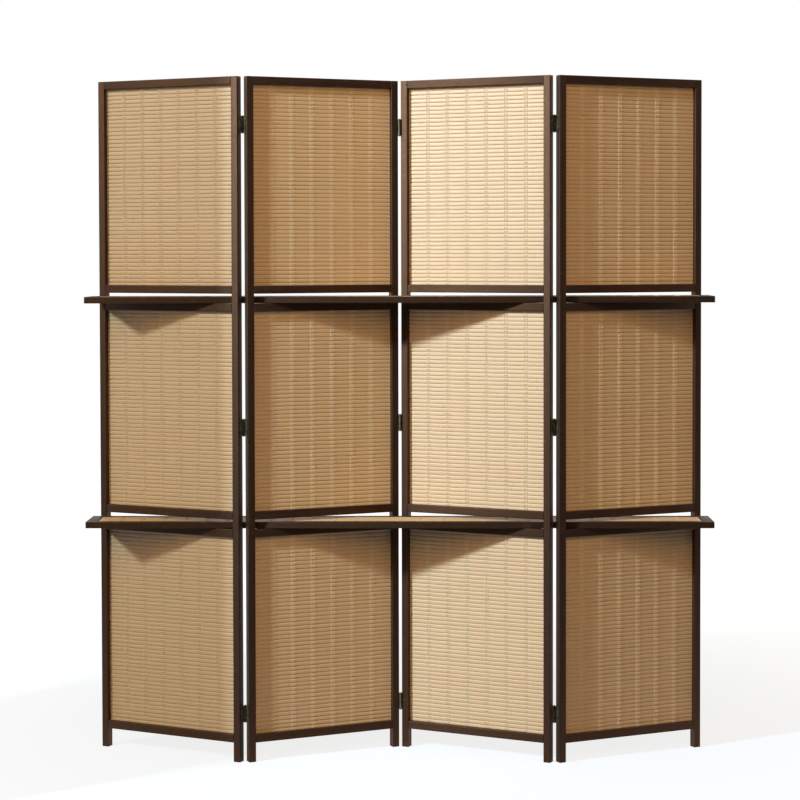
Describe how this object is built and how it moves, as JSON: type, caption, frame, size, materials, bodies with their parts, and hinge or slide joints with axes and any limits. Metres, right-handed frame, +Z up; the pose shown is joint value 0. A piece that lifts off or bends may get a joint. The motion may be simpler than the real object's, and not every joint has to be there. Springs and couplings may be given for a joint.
{
  "type": "folding screen with shelves",
  "caption": "Zigzag folding screen of hinged wooden frames with slatted bamboo mats, and long loose shelf boards threaded through slots in the panels.",
  "frame": {"origin": "on the floor, at the middle of the box that the standing screen fills", "axes": "+Z up; +X along the row of panels, to the right as seen from the front; -Y is the front"},
  "size_m": [1.5632, 0.1928, 1.7],
  "materials": {
    "posts": "dark walnut stain, satin",
    "rails": "dark walnut stain, satin",
    "panel_mats": "natural bamboo slats, lightly carbonised",
    "hinge_pins": "antique bronze",
    "hinge_leaves": "antique bronze",
    "screws": "antique bronze",
    "shelf_rails": "dark walnut stain, satin",
    "shelf_bases": "dark stained plywood",
    "shelf_mats": "natural bamboo slats, lightly carbonised"
  },
  "bodies": {
    "panel_2": {"panel_2_left_post": "posts", "panel_2_right_post": "posts", "panel_2_top_rail": "rails", "panel_2_upper_slot_top_rail": "rails", "panel_2_upper_slot_bottom_rail": "rails", "panel_2_lower_slot_top_rail": "rails", "panel_2_lower_slot_bottom_rail": "rails", "panel_2_bottom_rail": "rails", "panel_2_upper_mat": "panel_mats", "panel_2_middle_mat": "panel_mats", "panel_2_lower_mat": "panel_mats"},
    "panel_1": {"panel_1_left_post": "posts", "panel_1_right_post": "posts", "panel_1_top_rail": "rails", "panel_1_upper_slot_top_rail": "rails", "panel_1_upper_slot_bottom_rail": "rails", "panel_1_lower_slot_top_rail": "rails", "panel_1_lower_slot_bottom_rail": "rails", "panel_1_bottom_rail": "rails", "panel_1_upper_mat": "panel_mats", "panel_1_middle_mat": "panel_mats", "panel_1_lower_mat": "panel_mats"},
    "panel_3": {"panel_3_left_post": "posts", "panel_3_right_post": "posts", "panel_3_top_rail": "rails", "panel_3_upper_slot_top_rail": "rails", "panel_3_upper_slot_bottom_rail": "rails", "panel_3_lower_slot_top_rail": "rails", "panel_3_lower_slot_bottom_rail": "rails", "panel_3_bottom_rail": "rails", "panel_3_upper_mat": "panel_mats", "panel_3_middle_mat": "panel_mats", "panel_3_lower_mat": "panel_mats"},
    "panel_4": {"panel_4_left_post": "posts", "panel_4_right_post": "posts", "panel_4_top_rail": "rails", "panel_4_upper_slot_top_rail": "rails", "panel_4_upper_slot_bottom_rail": "rails", "panel_4_lower_slot_top_rail": "rails", "panel_4_lower_slot_bottom_rail": "rails", "panel_4_bottom_rail": "rails", "panel_4_upper_mat": "panel_mats", "panel_4_middle_mat": "panel_mats", "panel_4_lower_mat": "panel_mats"},
    "middle_hinge_pins": {"middle_fold_lower_pin": "hinge_pins", "middle_fold_middle_pin": "hinge_pins", "middle_fold_upper_pin": "hinge_pins"},
    "upper_shelf": {"upper_shelf_front_rail": "shelf_rails", "upper_shelf_back_rail": "shelf_rails", "upper_shelf_left_end_rail": "shelf_rails", "upper_shelf_right_end_rail": "shelf_rails", "upper_shelf_base_panel": "shelf_bases", "upper_shelf_mat": "shelf_mats"},
    "lower_shelf": {"lower_shelf_front_rail": "shelf_rails", "lower_shelf_back_rail": "shelf_rails", "lower_shelf_left_end_rail": "shelf_rails", "lower_shelf_right_end_rail": "shelf_rails", "lower_shelf_base_panel": "shelf_bases", "lower_shelf_mat": "shelf_mats"}
  },
  "joints": [
    {"name": "middle_fold", "type": "hinge", "parent": "panel_2", "child": "panel_3", "pos_m": [0, 0.07584, 0], "axis": [0, 0, -1], "range_deg": [0, 129.2]},
    {"name": "left_fold", "type": "hinge", "parent": "panel_2", "child": "panel_1", "pos_m": [-0.38473, -0.07584, 0], "axis": [0, 0, -1], "range_deg": [0, 129.2]},
    {"name": "right_fold", "type": "hinge", "parent": "panel_3", "child": "panel_4", "pos_m": [0.38473, -0.07584, 0], "axis": [0, 0, 1], "range_deg": [0, 129.2]},
    {"name": "middle_pins_turn", "type": "hinge", "parent": "panel_2", "child": "middle_hinge_pins", "pos_m": [0, 0.07584, 0], "axis": [0, 0, -1], "range_deg": [0, 64.6]},
    {"name": "upper_shelf_slide", "type": "slide", "parent": "middle_hinge_pins", "child": "upper_shelf", "axis": [1, 0, 0], "range_m": [-1.52, 1.52]},
    {"name": "lower_shelf_slide", "type": "slide", "parent": "middle_hinge_pins", "child": "lower_shelf", "axis": [1, 0, 0], "range_m": [-1.52, 1.52]}
  ],
  "couplings": [
    {"joint": "left_fold", "follows": "middle_fold", "ratio": 1},
    {"joint": "right_fold", "follows": "middle_fold", "ratio": 1},
    {"joint": "middle_pins_turn", "follows": "middle_fold", "ratio": 0.5}
  ]
}
